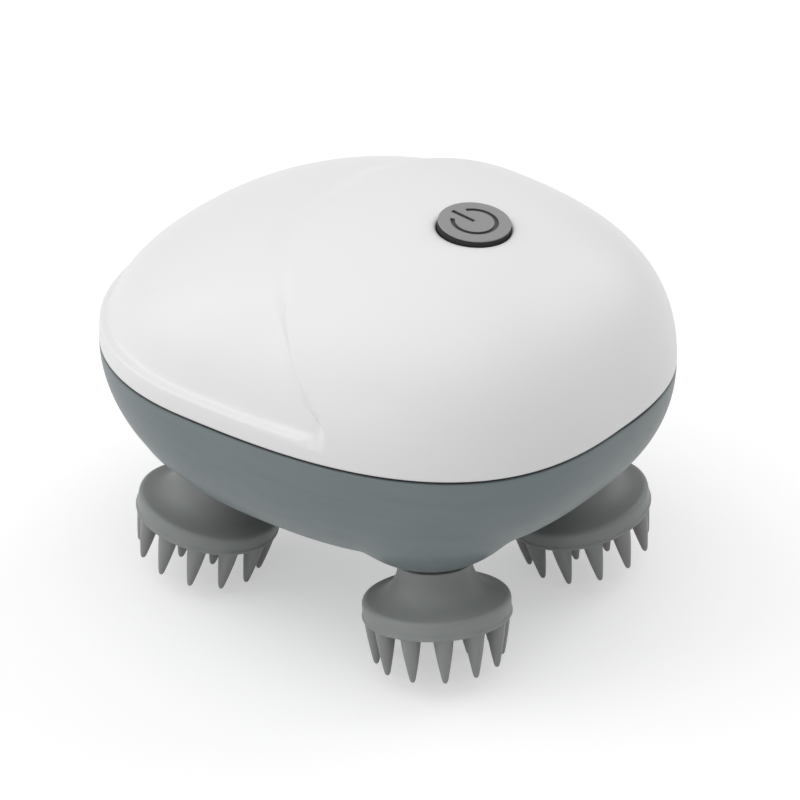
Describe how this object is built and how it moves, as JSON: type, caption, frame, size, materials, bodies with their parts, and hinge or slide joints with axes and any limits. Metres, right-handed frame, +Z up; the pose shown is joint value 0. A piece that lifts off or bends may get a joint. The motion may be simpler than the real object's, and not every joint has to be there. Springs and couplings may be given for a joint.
{
  "type": "electric scalp massager",
  "caption": "Palm-sized domed body on splayed, geared silicone massage heads that counter-turn from one motor, with a press button on the crown.",
  "frame": {"origin": "middle of the footprint, at the level of the lowest claw tips", "axes": "+X across the body to the right, +Y from the nose with the button to the tail, +Z up through the crown"},
  "size_m": [0.0946, 0.112, 0.0847],
  "materials": {
    "gloss_white": "gloss white moulded ABS",
    "soft_grey": "satin blue-grey moulded ABS",
    "gasket_rubber": "matt dark gasket",
    "button_grey": "satin light grey cap",
    "silicone_grey": "soft silicone rubber, slight sheen",
    "core_plastic": "moulded nylon",
    "shaft_steel": "ground stainless steel",
    "gear_acetal": "natural acetal",
    "bronze": "sintered bronze",
    "seal_rubber": "black silicone rubber",
    "frame_plastic": "glass-filled nylon",
    "plate_steel": "zinc-plated steel",
    "endcap_plastic": "black moulded plastic",
    "board_green": "solder mask over glass-epoxy",
    "cell_wrap": "blue shrink wrap over a lithium cell",
    "contact_gold": "gold-plated brass",
    "screw_steel": "zinc-plated steel"
  },
  "bodies": {
    "housing": {"battery_cell": "cell_wrap", "battery_cradle": "frame_plastic", "board_screws": "screw_steel", "bottom_housing": "soft_grey", "button_seal": "seal_rubber", "charge_pins": "contact_gold", "charge_socket": "frame_plastic", "cradle_screws": "screw_steel", "gear_plate": "frame_plastic", "gearbox_screws": "screw_steel", "housing_screws": "screw_steel", "idler_pins": "shaft_steel", "lower_bushes": "bronze", "main_pcb": "board_green", "motor_can": "plate_steel", "motor_endcap": "endcap_plastic", "motor_plate": "plate_steel", "motor_screws": "screw_steel", "pcb_chips": "endcap_plastic", "pillar_screws": "screw_steel", "plate_pillars": "plate_steel", "seam_gasket": "gasket_rubber", "shaft_seals": "seal_rubber", "sun_bush": "bronze", "tact_switch": "endcap_plastic", "top_cover": "gloss_white", "upper_bushes": "bronze"},
    "sun": {"sun_shaft": "shaft_steel", "sun_gear": "gear_acetal", "sun_wheel": "gear_acetal"},
    "compound_1": {"compound_gear_1": "gear_acetal"},
    "compound_2": {"compound_gear_2": "gear_acetal"},
    "rotor": {"motor_shaft": "shaft_steel", "motor_pinion": "bronze"},
    "button": {"power_button": "button_grey", "switch_stem": "endcap_plastic"},
    "head_front_left": {"massage_head_front_left": "silicone_grey", "head_core_front_left": "core_plastic", "drive_shaft_front_left": "shaft_steel", "planet_gear_front_left": "gear_acetal"},
    "head_front_right": {"massage_head_front_right": "silicone_grey", "head_core_front_right": "core_plastic", "drive_shaft_front_right": "shaft_steel", "planet_gear_front_right": "gear_acetal"},
    "head_rear_left": {"massage_head_rear_left": "silicone_grey", "head_core_rear_left": "core_plastic", "drive_shaft_rear_left": "shaft_steel", "planet_gear_rear_left": "gear_acetal"},
    "head_rear_right": {"massage_head_rear_right": "silicone_grey", "head_core_rear_right": "core_plastic", "drive_shaft_rear_right": "shaft_steel", "planet_gear_rear_right": "gear_acetal"}
  },
  "joints": [
    {"name": "sun_spin", "type": "hinge", "parent": "housing", "child": "sun", "pos_m": [0, -0.00146, 0.0375], "axis": [0, 0, 1], "continuous": true},
    {"name": "head_front_left_spin", "type": "hinge", "parent": "housing", "child": "head_front_left", "pos_m": [-0.0234, -0.03026, 0.01183], "axis": [0.1279, 0.1574, 0.9792], "continuous": true},
    {"name": "head_front_right_spin", "type": "hinge", "parent": "housing", "child": "head_front_right", "pos_m": [0.0234, -0.03026, 0.01183], "axis": [-0.1279, 0.1574, 0.9792], "continuous": true},
    {"name": "head_rear_left_spin", "type": "hinge", "parent": "housing", "child": "head_rear_left", "pos_m": [-0.0234, 0.02734, 0.01183], "axis": [0.1279, -0.1574, 0.9792], "continuous": true},
    {"name": "head_rear_right_spin", "type": "hinge", "parent": "housing", "child": "head_rear_right", "pos_m": [0.0234, 0.02734, 0.01183], "axis": [-0.1279, -0.1574, 0.9792], "continuous": true},
    {"name": "compound_2_spin", "type": "hinge", "parent": "housing", "child": "compound_2", "pos_m": [0, 0.01734, 0.049], "axis": [0, 0, 1], "continuous": true},
    {"name": "compound_1_spin", "type": "hinge", "parent": "housing", "child": "compound_1", "pos_m": [-0.01194, 0.01042, 0.052], "axis": [0, 0, 1], "continuous": true},
    {"name": "rotor_spin", "type": "hinge", "parent": "housing", "child": "rotor", "pos_m": [0, 0.0035, 0.055], "axis": [0, 0, 1], "continuous": true},
    {"name": "button_press", "type": "slide", "parent": "housing", "child": "button", "axis": [0, 0.0993, -0.9951], "range_m": [0, 0.0005], "stiffness_N_per_m": 800}
  ],
  "couplings": [
    {"joint": "head_front_left_spin", "follows": "sun_spin", "ratio": -1.6667},
    {"joint": "head_front_right_spin", "follows": "sun_spin", "ratio": -1.6667},
    {"joint": "head_rear_left_spin", "follows": "sun_spin", "ratio": -1.6667},
    {"joint": "head_rear_right_spin", "follows": "sun_spin", "ratio": -1.6667},
    {"joint": "compound_2_spin", "follows": "sun_spin", "ratio": -3.2727},
    {"joint": "compound_1_spin", "follows": "sun_spin", "ratio": 11.782},
    {"joint": "rotor_spin", "follows": "sun_spin", "ratio": -42.415}
  ]
}
